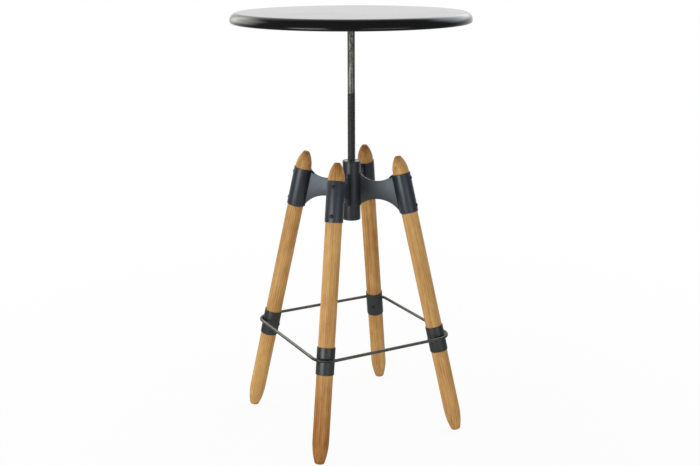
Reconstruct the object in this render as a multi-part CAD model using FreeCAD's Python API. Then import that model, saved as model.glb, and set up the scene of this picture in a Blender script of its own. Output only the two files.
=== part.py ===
import FreeCAD, Part
import math
import os

# Height-adjustable wine table. Millimetres and degrees, floor at Z 0, table axis on Z.

# All pieces
OVERRUN = 4.0               # how far a cut runs past the piece it cuts
SEAT_FIT = 0.1              # radial gap of a piece that sits inside another
SCREW_FIT = 0.05            # radial gap of a screw in the hole that holds it
RUNNING_FIT = 0.3           # gap between pieces that turn against each other

# Legs: four turned wooden poles, leaning outward towards the floor
LEG_DIAMETER = 42.0
LEG_LENGTH = 750.0
LEG_SPLAY = 12.9
LEG_TIP_LENGTH = 44.8       # pointed end above the sleeve
LEG_TIP_FLAT = 14.0
LEG_TIP_ROUND = 2.0
LEG_FOOT_LENGTH = 60.0      # narrowing end that stands on the floor
LEG_FOOT_FLAT = 23.0
LEG_FOOT_ROUND = 5.0

# Sleeves: steel tubes that hold the upper ends of the legs
SLEEVE_WALL = 2.0
SLEEVE_LENGTH = 102.0
SLEEVE_SCREW_INSET = 15.0   # from each end of the sleeve to a screw

# Hub: upright tube in the middle, with the threaded nut in its upper end
HUB_DIAMETER = 46.0
HUB_WALL = 4.0
HUB_LENGTH = 154.6
HUB_DROP = 1.8              # hub centre below the centre of the sleeves
NUT_LENGTH = 60.0

# Webs: plates with hollowed edges between the hub and the sleeves
WEB_LENGTH = 96.0           # hub face to sleeve face, at the sleeve's centre
WEB_THICKNESS = 5.0
WEB_HUB_HEIGHT = 84.0
WEB_WAIST_HEIGHT = 47.5
WEB_SLEEVE_INSET = 1.0      # sleeve left bare above and below the web
WEB_RISE = 2.0              # waist centre above the centre of the sleeves

# Ferrules: steel bands round the legs that carry the foot ring
FERRULE_WALL = 2.0
FERRULE_LENGTH = 68.3
FERRULE_UP = 259.5          # from the foot to the ferrule's centre, along the leg
FERRULE_SCREW_DROP = 4.0    # screw below the ferrule's centre, along the leg

# Foot ring: one round bar, bent to a square and welded outside the ferrules
RING_BAR = 8.0
RING_BEND_RADIUS = 42.0
RING_RISE = 8.5             # ring above the ferrules' centres
RING_WELD_GAP = 0.05

# Round-head screws in the sleeves and ferrules
SCREW_HEAD_DIAMETER = 10.0
SCREW_HEAD_HEIGHT = 2.2
SCREW_HEAD_RIM = 0.5
SCREW_SHANK = 4.5
SCREW_LENGTH = 24.0
SCREW_TUBE_CLEARANCE = 0.25

# Spindle: threaded below, plain above, with a stop at its lower end
THREAD_DIAMETER = 20.0
THREAD_CHAMFER = 1.5
THREAD_RUNOUT = 0.8
SHANK_DIAMETER = 18.8
SHANK_SHOWN = 160.0         # plain shank between the thread and the socket
LOWER_TRAVEL = 172.0
RAISE_TRAVEL = 20.0
STOP_GAP = 0.5              # left between stop and nut at full height
STOP_WASHER_CLEARANCE = 3.0  # from the stop washer's edge to the hub's bore
STOP_WASHER_THICKNESS = 4.0
STOP_SHOULDER_DIAMETER = 10.0
STOP_THREAD_DIAMETER = 8.0
STOP_THREAD_LENGTH = 18.0
STOP_HEAD_DIAMETER = 16.0
STOP_HEAD_HEIGHT = 5.0
STOP_KEY_DIAMETER = 7.0
STOP_KEY_DEPTH = 3.0

# Socket: turned collar under the table top that takes the spindle, cross-pinned
SOCKET_DIAMETER = 38.0
SOCKET_HEIGHT = 35.0
SOCKET_CHAMFER = 2.0
PIN_DIAMETER = 6.0
PIN_STANDOUT = 1.5

# Spider: four-armed flat bracket under the table top, held by studs and nuts
SPIDER_REACH = 205.0
SPIDER_WIDTH = 40.0
SPIDER_THICKNESS = 5.0
STUD_INSET = 30.0           # from the end of an arm to its stud
STUD_DIAMETER = 6.0
STUD_STANDOUT = 3.0
STUD_CLEARANCE = 0.4
STUD_NUT_FLATS = 10.0
STUD_NUT_HEIGHT = 5.0

# Table top: pressed steel pan with a rounded shoulder and a rolled-in lower edge
TOP_DIAMETER = 600.0
TOP_SHEET = 1.5
RIM_SHOULDER_RADIUS = 19.0
RIM_SKIRT = 1.0             # upright part between the shoulder and the lower roll
RIM_LOWER_RADIUS = 6.0
RIM_LIP = 6.0

# Quarter turn between neighbouring legs, and half of it to the first one
LEG_COUNT = 4
LEG_STEP = 360.0 / LEG_COUNT
LEG_NAMES = ("back_right", "back_left", "front_left", "front_right")

# Sizes that follow from those above
ORIGIN = FreeCAD.Vector(0, 0, 0)
UP = FreeCAD.Vector(0, 0, 1)
SPLAY = math.radians(LEG_SPLAY)
LEG_RADIUS = LEG_DIAMETER / 2
LEG_BORE_RADIUS = LEG_RADIUS + SEAT_FIT
SLEEVE_RADIUS = LEG_BORE_RADIUS + SLEEVE_WALL
FERRULE_RADIUS = LEG_BORE_RADIUS + FERRULE_WALL
HUB_RADIUS = HUB_DIAMETER / 2
HUB_BORE_RADIUS = HUB_RADIUS - HUB_WALL
SLEEVE_UP = LEG_LENGTH - LEG_TIP_LENGTH - SLEEVE_LENGTH / 2
SLEEVE_REACH = HUB_RADIUS + WEB_LENGTH + SLEEVE_RADIUS / math.cos(SPLAY)
SLEEVE_HEIGHT = SLEEVE_UP * math.cos(SPLAY)
FOOT_REACH = SLEEVE_REACH + SLEEVE_UP * math.sin(SPLAY)
FOOT = FreeCAD.Vector(FOOT_REACH, 0, 0)
LEG_AXIS = FreeCAD.Vector(-math.sin(SPLAY), 0, math.cos(SPLAY))
LEG_OUTWARD = FreeCAD.Vector(math.cos(SPLAY), 0, math.sin(SPLAY))
HUB_BOTTOM = SLEEVE_HEIGHT - HUB_DROP - HUB_LENGTH / 2
HUB_TOP = HUB_BOTTOM + HUB_LENGTH
THREAD_TOP = HUB_TOP + LOWER_TRAVEL + THREAD_RUNOUT
SPINDLE_BOTTOM = HUB_TOP - NUT_LENGTH - RAISE_TRAVEL - STOP_GAP
SOCKET_BOTTOM = THREAD_TOP + SHANK_SHOWN
SOCKET_TOP = SOCKET_BOTTOM + SOCKET_HEIGHT
PIN_HEIGHT = SOCKET_BOTTOM + SOCKET_HEIGHT / 2
DECK_UNDERSIDE = SOCKET_TOP + SPIDER_THICKNESS
TABLE_HEIGHT = DECK_UNDERSIDE + TOP_SHEET
RIM_HEIGHT = RIM_SHOULDER_RADIUS + RIM_SKIRT + RIM_LOWER_RADIUS
STOP_SHOULDER_LENGTH = STOP_WASHER_THICKNESS + 2 * RUNNING_FIT
STOP_WASHER_RADIUS = HUB_BORE_RADIUS - STOP_WASHER_CLEARANCE
STUD_REACH = SPIDER_REACH - STUD_INSET
RING_HEIGHT = FERRULE_UP * math.cos(SPLAY) + RING_RISE


def point(across, height):
    """A point in the upright plane of the leg on +X."""
    return FreeCAD.Vector(across, 0, height)


def along_leg(distance):
    """The point of the leg's centre line that lies this far from the foot."""
    return FOOT + LEG_AXIS * distance


def rod(radius, length, base=ORIGIN, axis=UP):
    return Part.makeCylinder(radius, length, base, axis)


def tube(bore_radius, radius, length, base=ORIGIN, axis=UP):
    bore = rod(bore_radius, length + 2 * OVERRUN, base - axis * OVERRUN, axis)
    return rod(radius, length, base, axis).cut(bore)


def line(start, end):
    return Part.LineSegment(start, end).toShape()


def arc(start, middle, end):
    return Part.Arc(start, middle, end).toShape()


def face_of(edges):
    return Part.Face(Part.Wire(edges))


def spun(edges):
    """Solid of revolution about Z of an outline in the XZ plane."""
    return face_of(edges).revolve(ORIGIN, UP, 360)


def corner_arc(centre, radius, start_angle, end_angle):
    """Arc in the XZ plane about a centre, between two angles."""
    def at(angle):
        turn = math.radians(angle)
        return centre + point(radius * math.cos(turn), radius * math.sin(turn))
    return arc(at(start_angle), at((start_angle + end_angle) / 2), at(end_angle))


def placed(shape, base, direction):
    """A copy of a shape made along Z, moved to a base and turned to a direction."""
    copy = shape.copy()
    copy.Placement = FreeCAD.Placement(base, FreeCAD.Rotation(UP, direction))
    return copy


def round_legs(shape):
    """One copy of a shape at each leg, from the one made on +X."""
    return [shape.rotated(ORIGIN, UP, LEG_STEP * (index + 1 / 2)) for index in range(LEG_COUNT)]


def save(name, shape):
    shape.exportStep("parts/" + name + ".step")


def save_each(name, shape):
    for leg_name, copy in zip(LEG_NAMES, round_legs(shape)):
        save(name + "_" + leg_name, copy)


def save_group(name, shapes):
    save(name, Part.makeCompound(shapes))


def pointed_end(flat_radius, length, tip_height, shoulder_height):
    """Bullet-shaped side of a leg's end, from the shoulder to the flat."""
    fall = LEG_RADIUS - flat_radius
    sweep = (length ** 2 + fall ** 2) / (2 * fall)
    side = 1 if tip_height > shoulder_height else -1
    half_turn = math.asin(length / sweep) / 2
    middle_radius = LEG_RADIUS - sweep * (1 - math.cos(half_turn))
    middle_height = shoulder_height + side * sweep * math.sin(half_turn)
    return (point(LEG_RADIUS, shoulder_height), point(middle_radius, middle_height),
            point(flat_radius, tip_height))


def rounded_ends(shape):
    """Soften the two flat ends of a leg's blank."""
    foot_radius = LEG_FOOT_FLAT / 2
    tip_radius = LEG_TIP_FLAT / 2
    for radius, height, rounding in ((foot_radius, 0, LEG_FOOT_ROUND), (tip_radius, LEG_LENGTH, LEG_TIP_ROUND)):
        ring = [edge for edge in shape.Edges if len(edge.Vertexes) == 1
                and abs(edge.BoundBox.ZMin - height) < SEAT_FIT and edge.BoundBox.ZLength < SEAT_FIT]
        shape = shape.makeFillet(min(rounding, radius / 2), ring)
    return shape


def leg_blank():
    """Turned pole on Z, foot end at the origin."""
    foot = pointed_end(LEG_FOOT_FLAT / 2, LEG_FOOT_LENGTH, 0, LEG_FOOT_LENGTH)
    tip = pointed_end(LEG_TIP_FLAT / 2, LEG_TIP_LENGTH, LEG_LENGTH, LEG_LENGTH - LEG_TIP_LENGTH)
    top = point(0, LEG_LENGTH)
    return rounded_ends(spun([line(ORIGIN, foot[2]), arc(foot[2], foot[1], foot[0]), line(foot[0], tip[0]),
                              arc(*tip), line(tip[2], top), line(top, ORIGIN)]))


def round_head_screw():
    """Screw whose head stands on the XY plane, shank pointing down."""
    radius = SCREW_HEAD_DIAMETER / 2
    dome = SCREW_HEAD_HEIGHT - SCREW_HEAD_RIM
    sweep = (radius ** 2 + dome ** 2) / (2 * dome)
    middle_across = radius / 2
    middle = point(middle_across, SCREW_HEAD_HEIGHT - sweep + math.sqrt(sweep ** 2 - middle_across ** 2))
    edge, rim, crown = point(radius, 0), point(radius, SCREW_HEAD_RIM), point(0, SCREW_HEAD_HEIGHT)
    head = spun([line(ORIGIN, edge), line(edge, rim), arc(rim, middle, crown), line(crown, ORIGIN)])
    return head.fuse(rod(SCREW_SHANK / 2, SCREW_LENGTH, ORIGIN, -UP)).removeSplitter()


def sleeve_screw_seats():
    """Where the two outer screws of a sleeve sit, and which way they face."""
    reach = SLEEVE_LENGTH / 2 - SLEEVE_SCREW_INSET
    return [(along_leg(SLEEVE_UP + side * reach) + LEG_OUTWARD * SLEEVE_RADIUS, LEG_OUTWARD) for side in (1, -1)]


def ferrule_screw_seats():
    """Where the inner screw of a ferrule sits, and which way it faces."""
    return [(along_leg(FERRULE_UP - FERRULE_SCREW_DROP) - LEG_OUTWARD * FERRULE_RADIUS, -LEG_OUTWARD)]


def drilled(shape, seats, radius):
    """The shape with a hole for each screw."""
    for seat, facing in seats:
        shape = shape.cut(rod(radius, SCREW_LENGTH + OVERRUN, seat + facing * OVERRUN, -facing))
    return shape


def pilot_drilled(shape, seats):
    """The shape with a blind hole for each screw, no deeper than its shank."""
    for seat, facing in seats:
        shape = shape.cut(rod(SCREW_SHANK / 2 + SCREW_FIT, SCREW_LENGTH, seat, -facing))
    return shape


def leg():
    """Leg in its place, levelled to stand on the floor."""
    pole = placed(leg_blank(), FOOT, LEG_AXIS)
    floor_size = LEG_LENGTH
    floor = Part.makeBox(floor_size, floor_size, LEG_DIAMETER,
                         FreeCAD.Vector(FOOT_REACH - floor_size / 2, -floor_size / 2, -LEG_DIAMETER))
    return pilot_drilled(pole.cut(floor), sleeve_screw_seats() + ferrule_screw_seats())


def sleeve():
    base = along_leg(SLEEVE_UP - SLEEVE_LENGTH / 2)
    body = tube(LEG_BORE_RADIUS, SLEEVE_RADIUS, SLEEVE_LENGTH, base, LEG_AXIS)
    reach = LEG_OUTWARD * LEG_RADIUS
    seats = [(seat + reach, facing) for seat, facing in sleeve_screw_seats()]
    return drilled(body, seats, SCREW_SHANK / 2 + SCREW_TUBE_CLEARANCE)


def ferrule():
    base = along_leg(FERRULE_UP - FERRULE_LENGTH / 2)
    body = tube(LEG_BORE_RADIUS, FERRULE_RADIUS, FERRULE_LENGTH, base, LEG_AXIS)
    reach = LEG_OUTWARD * LEG_RADIUS
    seats = [(seat - reach, facing) for seat, facing in ferrule_screw_seats()]
    return drilled(body, seats, SCREW_SHANK / 2 + SCREW_TUBE_CLEARANCE)


def web():
    """Plate on the leg's plane, its ends fitted to the hub and the sleeve."""
    centre = SLEEVE_HEIGHT + WEB_RISE
    waist_across = HUB_RADIUS + WEB_LENGTH / 2
    end_reach = SLEEVE_LENGTH / 2 - WEB_SLEEVE_INSET
    hub_top = point(HUB_RADIUS, centre + WEB_HUB_HEIGHT / 2)
    hub_bottom = point(HUB_RADIUS, centre - WEB_HUB_HEIGHT / 2)
    waist_top = point(waist_across, centre + WEB_WAIST_HEIGHT / 2)
    waist_bottom = point(waist_across, centre - WEB_WAIST_HEIGHT / 2)
    axis_top = along_leg(SLEEVE_UP + end_reach)
    axis_bottom = along_leg(SLEEVE_UP - end_reach)
    sleeve_top = axis_top - LEG_OUTWARD * SLEEVE_RADIUS
    sleeve_bottom = axis_bottom - LEG_OUTWARD * SLEEVE_RADIUS
    root_top = point(HUB_BORE_RADIUS, hub_top.z)
    root_bottom = point(HUB_BORE_RADIUS, hub_bottom.z)
    outline = face_of([
        line(root_top, hub_top), arc(hub_top, waist_top, sleeve_top), line(sleeve_top, axis_top),
        line(axis_top, axis_bottom), line(axis_bottom, sleeve_bottom),
        arc(sleeve_bottom, waist_bottom, hub_bottom), line(hub_bottom, root_bottom), line(root_bottom, root_top)])
    outline.translate(FreeCAD.Vector(0, -WEB_THICKNESS / 2, 0))
    plate = outline.extrude(FreeCAD.Vector(0, WEB_THICKNESS, 0))
    hub_space = rod(HUB_RADIUS, HUB_LENGTH, point(0, HUB_BOTTOM))
    sleeve_space = rod(SLEEVE_RADIUS, SLEEVE_LENGTH, along_leg(SLEEVE_UP - SLEEVE_LENGTH / 2), LEG_AXIS)
    return plate.cut(hub_space).cut(sleeve_space)


def hub_tube():
    return tube(HUB_BORE_RADIUS, HUB_RADIUS, HUB_LENGTH, point(0, HUB_BOTTOM))


def spindle_nut():
    base = point(0, HUB_TOP - NUT_LENGTH)
    return tube(THREAD_DIAMETER / 2 + SEAT_FIT, HUB_BORE_RADIUS - SEAT_FIT, NUT_LENGTH, base)


def foot_ring():
    """Round bar bent round a square whose corners lie outside the ferrules."""
    leg_reach = along_leg(RING_HEIGHT / math.cos(SPLAY)).x
    corner_reach = leg_reach + (FERRULE_RADIUS + RING_BAR / 2 + RING_WELD_GAP) / math.cos(SPLAY)
    bend_reach = (corner_reach - RING_BEND_RADIUS) / math.sqrt(2)
    side_reach = bend_reach + RING_BEND_RADIUS
    lift = FreeCAD.Vector(0, 0, RING_HEIGHT)
    side = Part.makeCylinder(RING_BAR / 2, 2 * bend_reach, FreeCAD.Vector(side_reach, -bend_reach, 0) + lift,
                             FreeCAD.Vector(0, 1, 0))
    section = Part.Face(Part.Wire(Part.makeCircle(RING_BAR / 2, FreeCAD.Vector(side_reach, bend_reach, 0) + lift,
                                                  FreeCAD.Vector(0, 1, 0))))
    bend = section.revolve(FreeCAD.Vector(bend_reach, bend_reach, RING_HEIGHT), UP, LEG_STEP)
    quarters = [piece.rotated(ORIGIN, UP, LEG_STEP * index) for index in range(LEG_COUNT) for piece in (side, bend)]
    return quarters[0].fuse(quarters[1:]).removeSplitter()


def spindle():
    """Threaded bar with a plain shank, drilled for its stop screw and cross pin."""
    thread_radius = THREAD_DIAMETER / 2
    start = point(0, SPINDLE_BOTTOM)
    outline = [start, point(thread_radius - THREAD_CHAMFER, SPINDLE_BOTTOM),
               point(thread_radius, SPINDLE_BOTTOM + THREAD_CHAMFER), point(thread_radius, THREAD_TOP),
               point(SHANK_DIAMETER / 2, THREAD_TOP), point(SHANK_DIAMETER / 2, SOCKET_TOP), point(0, SOCKET_TOP)]
    bar = spun([line(a, b) for a, b in zip(outline, outline[1:] + [start])])
    stop_hole = rod(STOP_THREAD_DIAMETER / 2 + SCREW_FIT, STOP_THREAD_LENGTH + OVERRUN, start - UP * OVERRUN)
    return bar.cut(stop_hole).cut(pin_bar(PIN_DIAMETER / 2 + SCREW_FIT, SOCKET_DIAMETER / 2 + OVERRUN))


def pin_bar(radius, reach):
    """Rod across the socket, reaching this far to each side."""
    return rod(radius, 2 * reach, FreeCAD.Vector(-reach, 0, PIN_HEIGHT), FreeCAD.Vector(1, 0, 0))


def spindle_socket():
    radius, bore = SOCKET_DIAMETER / 2, SHANK_DIAMETER / 2 + SEAT_FIT
    outline = [point(bore, SOCKET_BOTTOM), point(radius - SOCKET_CHAMFER, SOCKET_BOTTOM),
               point(radius, SOCKET_BOTTOM + SOCKET_CHAMFER), point(radius, SOCKET_TOP), point(bore, SOCKET_TOP)]
    collar = spun([line(a, b) for a, b in zip(outline, outline[1:] + outline[:1])])
    return collar.cut(pin_bar(PIN_DIAMETER / 2 + SCREW_FIT, radius + OVERRUN))


def stop_washer():
    base = point(0, SPINDLE_BOTTOM - RUNNING_FIT - STOP_WASHER_THICKNESS)
    return tube(STOP_SHOULDER_DIAMETER / 2 + RUNNING_FIT, STOP_WASHER_RADIUS, STOP_WASHER_THICKNESS, base)


def stop_screw():
    """Shoulder screw that keeps the stop washer on the spindle's end."""
    shoulder_base = SPINDLE_BOTTOM - STOP_SHOULDER_LENGTH
    head_base = shoulder_base - STOP_HEAD_HEIGHT
    screw = rod(STOP_THREAD_DIAMETER / 2, STOP_THREAD_LENGTH, point(0, SPINDLE_BOTTOM))
    screw = screw.fuse([rod(STOP_SHOULDER_DIAMETER / 2, STOP_SHOULDER_LENGTH, point(0, shoulder_base)),
                        rod(STOP_HEAD_DIAMETER / 2, STOP_HEAD_HEIGHT, point(0, head_base))])
    key = hexagon_prism(STOP_KEY_DIAMETER, STOP_KEY_DEPTH + OVERRUN, point(0, head_base - OVERRUN))
    return screw.cut(key).removeSplitter()


def hexagon_prism(flats, height, base):
    radius = flats / math.sqrt(3)
    corners = [base + FreeCAD.Vector(radius * math.cos(turn), radius * math.sin(turn), 0)
               for turn in (math.pi / 3 * index for index in range(7))]
    return Part.Face(Part.makePolygon(corners)).extrude(FreeCAD.Vector(0, 0, height))


def spider_arms():
    """Round-ended flat bar along X, the length of two opposite arms."""
    half, straight = SPIDER_WIDTH / 2, SPIDER_REACH - SPIDER_WIDTH / 2
    def at(across, aside):
        return FreeCAD.Vector(across, aside, SOCKET_TOP)
    bar = face_of([line(at(-straight, -half), at(straight, -half)),
                   arc(at(straight, -half), at(SPIDER_REACH, 0), at(straight, half)),
                   line(at(straight, half), at(-straight, half)),
                   arc(at(-straight, half), at(-SPIDER_REACH, 0), at(-straight, -half))])
    return bar.extrude(UP * SPIDER_THICKNESS)


def stud_places(height):
    return [FreeCAD.Vector(STUD_REACH * math.cos(turn), STUD_REACH * math.sin(turn), height)
            for turn in (math.radians(LEG_STEP) * index for index in range(LEG_COUNT))]


def top_spider():
    arms = spider_arms()
    bracket = arms.fuse(arms.rotated(ORIGIN, UP, LEG_STEP)).removeSplitter()
    for place in stud_places(SOCKET_TOP - OVERRUN):
        bracket = bracket.cut(rod(STUD_DIAMETER / 2 + STUD_CLEARANCE, SPIDER_THICKNESS + 2 * OVERRUN, place))
    return bracket


def weld_studs():
    length = SPIDER_THICKNESS + STUD_NUT_HEIGHT + STUD_STANDOUT
    return [rod(STUD_DIAMETER / 2, length, place) for place in stud_places(DECK_UNDERSIDE - length)]


def stud_nuts():
    nuts = []
    for place in stud_places(SOCKET_TOP - STUD_NUT_HEIGHT):
        bore = rod(STUD_DIAMETER / 2 + SCREW_FIT, STUD_NUT_HEIGHT + 2 * OVERRUN, place - UP * OVERRUN)
        nuts.append(hexagon_prism(STUD_NUT_FLATS, STUD_NUT_HEIGHT, place).cut(bore))
    return nuts


def table_top():
    """Spun pan: flat deck, rounded shoulder, upright skirt, lower edge rolled in."""
    radius, bottom = TOP_DIAMETER / 2, TABLE_HEIGHT - RIM_HEIGHT
    shoulder = point(radius - RIM_SHOULDER_RADIUS, TABLE_HEIGHT - RIM_SHOULDER_RADIUS)
    roll = point(radius - RIM_LOWER_RADIUS, bottom + RIM_LOWER_RADIUS)
    lip_across = roll.x - RIM_LIP
    outer = [corner_arc(shoulder, RIM_SHOULDER_RADIUS, 90, 0), corner_arc(roll, RIM_LOWER_RADIUS, 0, -90)]
    inner = [corner_arc(roll, RIM_LOWER_RADIUS - TOP_SHEET, -90, 0),
             corner_arc(shoulder, RIM_SHOULDER_RADIUS - TOP_SHEET, 0, 90)]
    crown, under = point(0, TABLE_HEIGHT), point(0, DECK_UNDERSIDE)
    lip_low, lip_high = point(lip_across, bottom), point(lip_across, bottom + TOP_SHEET)
    return spun([
        line(crown, point(shoulder.x, TABLE_HEIGHT)), outer[0],
        line(point(radius, shoulder.z), point(radius, roll.z)), outer[1],
        line(point(roll.x, bottom), lip_low), line(lip_low, lip_high), line(lip_high, point(roll.x, lip_high.z)),
        inner[0], line(point(radius - TOP_SHEET, roll.z), point(radius - TOP_SHEET, shoulder.z)),
        inner[1], line(point(shoulder.x, DECK_UNDERSIDE), under), line(under, crown)])


def screws(seats):
    screw = round_head_screw()
    return [copy for seat, facing in seats for copy in round_legs(placed(screw, seat, facing))]


os.makedirs("parts", exist_ok=True)

save_each("leg", leg())
save_each("sleeve", sleeve())
save_each("web", web())
save_each("ferrule", ferrule())
save_group("sleeve_screws", screws(sleeve_screw_seats()))
save_group("ferrule_screws", screws(ferrule_screw_seats()))
save("hub_tube", hub_tube())
save("spindle_nut", spindle_nut())
save("foot_ring", foot_ring())
save("spindle", spindle())
save("stop_washer", stop_washer())
save("stop_screw", stop_screw())
save("spindle_socket", spindle_socket())
save("socket_pin", pin_bar(PIN_DIAMETER / 2, SOCKET_DIAMETER / 2 + PIN_STANDOUT))
save("top_spider", top_spider())
save_group("weld_studs", weld_studs())
save_group("stud_nuts", stud_nuts())
save("table_top", table_top())
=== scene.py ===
import math

import bpy
from mathutils import Matrix, Vector


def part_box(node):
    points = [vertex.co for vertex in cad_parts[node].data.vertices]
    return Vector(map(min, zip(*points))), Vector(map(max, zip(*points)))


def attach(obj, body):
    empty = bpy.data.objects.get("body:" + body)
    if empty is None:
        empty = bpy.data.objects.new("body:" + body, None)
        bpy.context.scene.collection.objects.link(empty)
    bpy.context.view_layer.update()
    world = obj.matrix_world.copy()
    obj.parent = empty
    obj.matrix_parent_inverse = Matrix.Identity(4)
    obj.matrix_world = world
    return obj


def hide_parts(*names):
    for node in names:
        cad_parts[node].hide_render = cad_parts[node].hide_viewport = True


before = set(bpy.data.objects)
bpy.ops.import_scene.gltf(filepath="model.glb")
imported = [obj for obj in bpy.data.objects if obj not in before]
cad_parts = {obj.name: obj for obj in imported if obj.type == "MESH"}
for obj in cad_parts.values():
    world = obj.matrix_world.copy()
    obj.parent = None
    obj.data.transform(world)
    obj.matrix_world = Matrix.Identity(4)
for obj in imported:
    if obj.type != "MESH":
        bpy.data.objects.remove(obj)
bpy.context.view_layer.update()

# Sizes are in metres and angles in radians. The spindle stands on the Z axis, the floor is at Z 0.
FULL_TURN = 2 * math.pi
QUARTER_TURN = FULL_TURN / 4

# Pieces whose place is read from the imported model
top_low, top_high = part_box("table_top")
hub_low, hub_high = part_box("hub_tube")
nut_low, nut_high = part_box("spindle_nut")
spindle_low, spindle_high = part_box("spindle")
collar_low, collar_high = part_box("spindle_socket")
pin_low, pin_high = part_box("socket_pin")
spider_low, spider_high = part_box("top_spider")
stud_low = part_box("weld_studs")[0]
bolt_nut_low, bolt_nut_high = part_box("stud_nuts")
ring_low, ring_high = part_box("foot_ring")

# Legs: four turned poles on the diagonals, leaning outward towards the floor
LEG_TURNS = {
    "back_right": 0.5 * QUARTER_TURN,
    "back_left": 1.5 * QUARTER_TURN,
    "front_left": 2.5 * QUARTER_TURN,
    "front_right": 3.5 * QUARTER_TURN,
}
LEG_SPLAY = math.radians(12.9)
LEG_RADIUS = 0.021
LEG_LENGTH = 0.750
LEG_TIP_LENGTH = 0.0448
LEG_TIP_FLAT = 0.007
LEG_TIP_ROUND = 0.0018
LEG_FOOT_LENGTH = 0.060
LEG_FOOT_FLAT = 0.0115
LEG_FOOT_ROUND = 0.0032

# Sleeves, ferrules and the screws in them
BAND_BORE = 0.0211
BAND_RADIUS = 0.0231
BAND_EDGE = 0.0006
SLEEVE_LENGTH = 0.102
SLEEVE_SCREW_INSET = 0.015
FERRULE_LENGTH = 0.0683
FERRULE_UP = 0.2595
FERRULE_SCREW_DROP = 0.004
SCREW_HEAD_RADIUS = 0.005
SCREW_HEAD_HEIGHT = 0.0022
SCREW_HEAD_RIM = 0.0005
SCREW_CROSS_REACH = 0.0028
SCREW_CROSS_WIDTH = 0.0009
SCREW_CROSS_DEPTH = 0.0014
SCREW_CROSS_TAPER = 0.72
SCREW_TWIST = 3.7

# Hub and the web plates that join it to the sleeves
HUB_RADIUS = hub_high.x
HUB_BORE = 0.019
HUB_EDGE = 0.0010
NUT_CHAMFER = 0.0012
NUT_PLAY = 0.0001
WEB_LENGTH = 0.096
WEB_THICKNESS = 0.005
WEB_HUB_HEIGHT = 0.084
WEB_WAIST_HEIGHT = 0.0475
WEB_SLEEVE_INSET = 0.001
WEB_RISE = 0.002
WEB_ROOT = 0.0005
WEB_EDGE = 0.0006

# Weld beads
WELD_RADIUS = 0.0019
WELD_SIDES = 10
WELD_RIPPLE = 0.0019
WELD_SWELL = 1.13
RING_WELD_LENGTH = 0.015
RING_WELD_RISE = 0.003
HORN_WELD_LENGTH = 0.0095
HORN_WELD_RADIUS = 0.0030
HORN_WELD_SINK = 0.0012

# Foot ring: one bar bent to a square with round corners
RING_BAR_RADIUS = 0.004
RING_BEND_RADIUS = 0.042
RING_SIDE = ring_high.x - RING_BAR_RADIUS
RING_BEND_AT = RING_SIDE - RING_BEND_RADIUS
RING_HEIGHT = (ring_low.z + ring_high.z) / 2

# Spindle: blackened thread below, bare shank above
THREAD_RADIUS = spindle_high.x
THREAD_DEPTH = 0.0009
THREAD_PITCH = 0.004
THREAD_CREST_SHARE = 0.37
THREAD_FLANK_SHARE = 0.15
SHANK_RADIUS = 0.0094
SHANK_SHOWN = 0.160
SHANK_EDGE = 0.0004
THREAD_TOP = collar_low.z - SHANK_SHOWN

# Table top: pressed pan with a round shoulder and a rolled-in lower edge
TOP_RADIUS = top_high.x
TABLE_HEIGHT = top_high.z
TOP_SHEET = TABLE_HEIGHT - spider_high.z
RIM_SHOULDER = 0.019
RIM_ROLL = 0.006
RIM_LIP = 0.006
DECK_MARGIN = 0.004

# Fixings under the top
COLLAR_RADIUS = collar_high.x
COLLAR_CHAMFER = 0.002
PIN_RADIUS = 0.003
PIN_EDGE = 0.0008
SPIDER_WIDTH = 0.040
SPIDER_EDGE = 0.0006
STUD_RADIUS = 0.003
STUD_REACH = 0.175
STUD_PITCH = 0.001
STUD_DEPTH = 0.0006
NUT_FLATS = 0.010
NUT_CORNER = 0.0007
NUT_SIDES = 6
NUT_TWIST = 0.4

# Smoothness of the meshes
LATHE_STEPS = 96
DECK_STEPS = 256
LEG_STEPS = 72
SCREW_STEPS = 40
CORNER_STEPS = 5
ARC_STEPS = 28
SHOULDER_STEPS = 28
THREAD_STEPS = 40
BAR_SIDES = 28
BEND_STEPS = 28
TIP_STEPS = 14
ROLL_STEPS = 9
STUD_STEPS = 20
LEG_END_STEPS = 4
WEB_EDGE_STEPS = 3
SPIDER_EDGE_STEPS = 2
SMOOTH_ANGLE = math.radians(32)
SPIDER_EDGE_ANGLE = 2 * SMOOTH_ANGLE
SEED_SIZE = 0.001
SEAM = 1e-5
CUT_SEAM = 1e-6
PICK_REACH = 1e-4

# Places that follow from the sizes
SLEEVE_UP = LEG_LENGTH - LEG_TIP_LENGTH - SLEEVE_LENGTH / 2
SLEEVE_REACH = HUB_RADIUS + WEB_LENGTH + BAND_RADIUS / math.cos(LEG_SPLAY)
SLEEVE_HEIGHT = SLEEVE_UP * math.cos(LEG_SPLAY)
FOOT_REACH = SLEEVE_REACH + SLEEVE_UP * math.sin(LEG_SPLAY)
WEB_MIDDLE = SLEEVE_HEIGHT + WEB_RISE
LEAN = Matrix.Translation((FOOT_REACH, 0, 0)) @ Matrix.Rotation(-LEG_SPLAY, 4, "Y")
FACE_OUT = Matrix.Rotation(QUARTER_TURN, 4, "Y")
FACE_IN = Matrix.Rotation(-QUARTER_TURN, 4, "Y")
QUARTER_SPINS = [Matrix.Rotation(QUARTER_TURN * index, 4, "Z") for index in range(4)]


# Modelling tools

def select_only(*pieces):
    bpy.ops.object.select_all(action="DESELECT")
    for piece in pieces:
        piece.select_set(True)
    bpy.context.view_layer.objects.active = pieces[0]


def begin(name):
    """A new empty piece, open for modelling."""
    bpy.ops.object.select_all(action="DESELECT")
    bpy.ops.object.add(type="MESH", enter_editmode=True)
    piece = bpy.context.active_object
    piece.name = piece.data.name = name
    return piece


def shade(piece):
    """Smooth shading that keeps sharp edges sharp."""
    select_only(piece)
    bpy.ops.object.shade_smooth_by_angle(angle=SMOOTH_ANGLE)


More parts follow.
